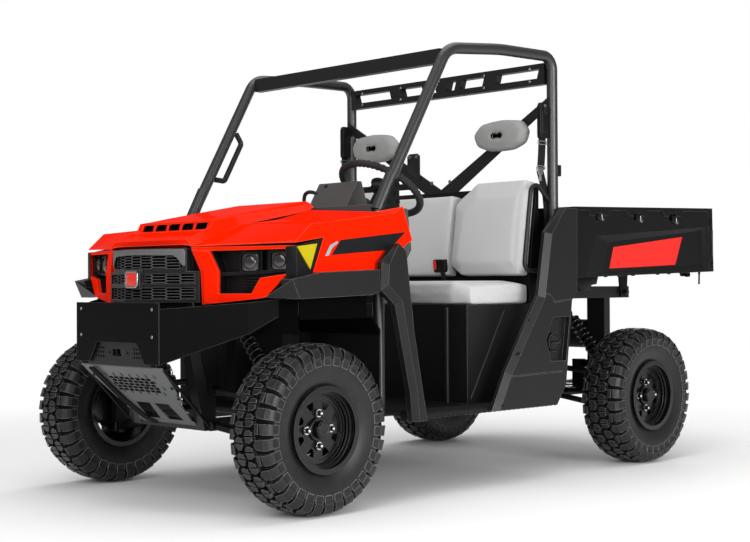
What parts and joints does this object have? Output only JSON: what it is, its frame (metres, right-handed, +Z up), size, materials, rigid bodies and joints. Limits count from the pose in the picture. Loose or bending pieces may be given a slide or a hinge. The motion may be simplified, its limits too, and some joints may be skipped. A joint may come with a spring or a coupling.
{
  "type": "side by side utility vehicle",
  "caption": "Two-seat utility side by side with a roll cage, faceted hood, front bumper plate and skid plate, mud tyres and a tipping cargo bed.",
  "frame": {"origin": "on the ground under the middle of the overall length and width", "axes": "+X to the vehicle's left, -Y to its front, +Z up"},
  "size_m": [1.568, 3.2434, 1.9448],
  "materials": {
    "black_powder_coat": "satin",
    "black_steel": "satin",
    "charcoal_plastic": "matte",
    "red_plastic": "gloss",
    "grey_vinyl": "matte",
    "silver_steel": "satin",
    "radiator_aluminium": "satin",
    "cast_metal": "matte",
    "marker_lens": "gloss",
    "grip_rubber": "matte",
    "tyre": "matte",
    "black_wheel_steel": "gloss"
  },
  "bodies": {
    "chassis": {"chassis_frame": "black_powder_coat", "floor_pan": "charcoal_plastic", "front_side_panels": "charcoal_plastic", "rear_side_panels": "charcoal_plastic", "fuel_cap": "charcoal_plastic", "seat_base": "charcoal_plastic", "seat_back_frame": "charcoal_plastic", "seat_cushion_driver": "grey_vinyl", "seat_cushion_passenger": "grey_vinyl", "seat_back_driver": "grey_vinyl", "seat_back_passenger": "grey_vinyl", "headrests": "grey_vinyl", "cage_side_tubes": "black_powder_coat", "cage_front_header": "black_powder_coat", "cage_rear_header": "black_powder_coat", "cage_rear_brace": "black_powder_coat", "hip_bars": "black_powder_coat", "grab_handle": "black_powder_coat", "dashboard": "charcoal_plastic", "steering_column": "charcoal_plastic", "fender_left": "red_plastic", "fender_right": "red_plastic", "nose_left": "charcoal_plastic", "nose_right": "charcoal_plastic", "headlamp_left": "charcoal_plastic", "headlamp_right": "charcoal_plastic", "lamp_cheeks": "charcoal_plastic", "side_markers": "marker_lens", "grille": "charcoal_plastic", "radiator": "radiator_aluminium", "front_flares": "charcoal_plastic", "wheel_liners": "charcoal_plastic", "front_bumper": "black_powder_coat", "winch_plate": "black_powder_coat", "skid_plate": "silver_steel", "engine_block": "cast_metal", "muffler": "cast_metal", "hitch_receiver": "black_powder_coat", "front_arms": "black_steel", "rear_arms": "black_steel", "front_shocks": "black_steel", "rear_shocks": "black_steel", "rack_housing": "black_steel"},
    "hood": {"hood": "red_plastic"},
    "cargo_bed": {"cargo_bed": "charcoal_plastic"},
    "tailgate": {"tailgate": "charcoal_plastic"},
    "steering": {"steering_wheel": "grip_rubber"},
    "rack": {"tie_rods": "black_steel"},
    "steer_left": {"knuckle_left": "black_steel"},
    "steer_right": {"knuckle_right": "black_steel"},
    "wheel_front_left": {"tyre_front_left": "tyre", "rim_front_left": "black_wheel_steel"},
    "wheel_front_right": {"tyre_front_right": "tyre", "rim_front_right": "black_wheel_steel"},
    "wheel_rear_left": {"tyre_rear_left": "tyre", "rim_rear_left": "black_wheel_steel"},
    "wheel_rear_right": {"tyre_rear_right": "tyre", "rim_rear_right": "black_wheel_steel"}
  },
  "joints": [
    {"name": "steer_left_turn", "type": "hinge", "parent": "chassis", "child": "steer_left", "pos_m": [0.5975, -1.1977, 0.328], "axis": [0, 0, 1], "range_deg": [-30, 30]},
    {"name": "steer_right_turn", "type": "hinge", "parent": "chassis", "child": "steer_right", "pos_m": [-0.5975, -1.1977, 0.328], "axis": [0, 0, 1], "range_deg": [-30.5, 30.5]},
    {"name": "steering_wheel_turn", "type": "hinge", "parent": "chassis", "child": "steering", "pos_m": [0.395, -0.5297, 1.29], "axis": [0, 0.5592, 0.829], "range_deg": [-455, 455]},
    {"name": "rack_slide", "type": "slide", "parent": "chassis", "child": "rack", "axis": [1, 0, 0], "range_m": [-0.0405, 0.0405]},
    {"name": "bed_tip", "type": "hinge", "parent": "chassis", "child": "cargo_bed", "pos_m": [0, 1.3023, 0.83], "axis": [-1, 0, 0], "range_deg": [0, 45]},
    {"name": "tailgate_drop", "type": "hinge", "parent": "cargo_bed", "child": "tailgate", "pos_m": [0, 1.59605, 0.91972], "axis": [-1, 0, 0], "range_deg": [0, 90]},
    {"name": "hood_lift", "type": "hinge", "parent": "chassis", "child": "hood", "pos_m": [0, -0.8077, 1.19], "axis": [-1, 0, 0], "range_deg": [0, 55]},
    {"name": "spin_front_left", "type": "hinge", "parent": "steer_left", "child": "wheel_front_left", "pos_m": [0.6715, -1.1977, 0.328], "axis": [1, 0, 0], "continuous": true},
    {"name": "spin_front_right", "type": "hinge", "parent": "steer_right", "child": "wheel_front_right", "pos_m": [-0.6715, -1.1977, 0.328], "axis": [1, 0, 0], "continuous": true},
    {"name": "spin_rear_left", "type": "hinge", "parent": "chassis", "child": "wheel_rear_left", "pos_m": [0.6715, 0.9623, 0.328], "axis": [1, 0, 0], "continuous": true},
    {"name": "spin_rear_right", "type": "hinge", "parent": "chassis", "child": "wheel_rear_right", "pos_m": [-0.6715, 0.9623, 0.328], "axis": [1, 0, 0], "continuous": true}
  ],
  "couplings": [
    {"joint": "steer_right_turn", "follows": "steer_left_turn", "ratio": 1},
    {"joint": "steering_wheel_turn", "follows": "steer_left_turn", "ratio": 15},
    {"joint": "rack_slide", "follows": "steer_left_turn", "m_per_rad": -0.0764}
  ]
}
